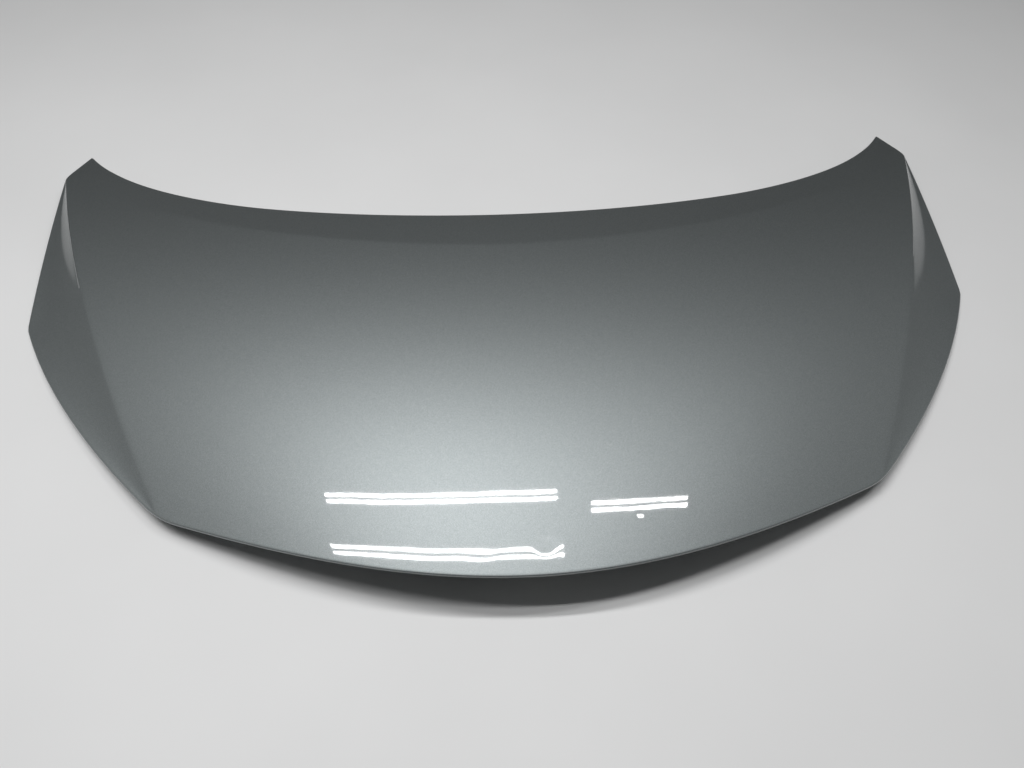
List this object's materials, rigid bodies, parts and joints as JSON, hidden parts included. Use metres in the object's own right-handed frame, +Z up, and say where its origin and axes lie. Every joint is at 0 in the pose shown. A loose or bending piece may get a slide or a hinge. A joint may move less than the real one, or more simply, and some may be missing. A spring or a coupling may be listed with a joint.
{
  "type": "car bonnet",
  "caption": "Pressed steel car bonnet with a hemmed inner frame, hinge and striker reinforcements, striker loop and rubber stops, lying outer face up.",
  "frame": {"origin": "middle of the bounding box at its lowest level, on the floor that the striker loop and the two side corners rest on", "axes": "+X across the car to the right seen from the front edge, +Y from the front edge towards the windscreen edge, +Z up, out of the painted face"},
  "size_m": [1.393, 0.814, 0.114],
  "materials": {
    "body_paint": "silver grey metallic paint under clear coat, glossy",
    "inner_paint": "thin overspray of the body colour on primer, semi-gloss",
    "zinc_steel": "zinc plated, dull",
    "black_rubber": "matt",
    "black_plastic": "fine grained",
    "mastic": "dull, slightly rough"
  },
  "bodies": {
    "root": {"hinge_reinforcement_left": "zinc_steel", "hinge_reinforcement_right": "zinc_steel", "hinge_weld_nut_left_front": "zinc_steel", "hinge_weld_nut_left_rear": "zinc_steel", "hinge_weld_nut_right_front": "zinc_steel", "hinge_weld_nut_right_rear": "zinc_steel", "inner_frame": "inner_paint", "mastic_dab_inner_left_1": "mastic", "mastic_dab_inner_left_2": "mastic", "mastic_dab_inner_left_3": "mastic", "mastic_dab_inner_left_4": "mastic", "mastic_dab_inner_right_1": "mastic", "mastic_dab_inner_right_2": "mastic", "mastic_dab_inner_right_3": "mastic", "mastic_dab_inner_right_4": "mastic", "mastic_dab_outer_left_1": "mastic", "mastic_dab_outer_left_2": "mastic", "mastic_dab_outer_left_3": "mastic", "mastic_dab_outer_left_4": "mastic", "mastic_dab_outer_right_1": "mastic", "mastic_dab_outer_right_2": "mastic", "mastic_dab_outer_right_3": "mastic", "mastic_dab_outer_right_4": "mastic", "outer_skin": "body_paint", "prop_rod_bush": "black_plastic", "rubber_buffer_front_left": "black_rubber", "rubber_buffer_front_right": "black_rubber", "rubber_buffer_side_left": "black_rubber", "rubber_buffer_side_right": "black_rubber", "striker_bolt_left": "zinc_steel", "striker_bolt_right": "zinc_steel", "striker_loop": "zinc_steel", "striker_plate": "zinc_steel", "striker_reinforcement": "zinc_steel", "striker_weld_nut_left": "zinc_steel", "striker_weld_nut_right": "zinc_steel"}
  },
  "joints": []
}
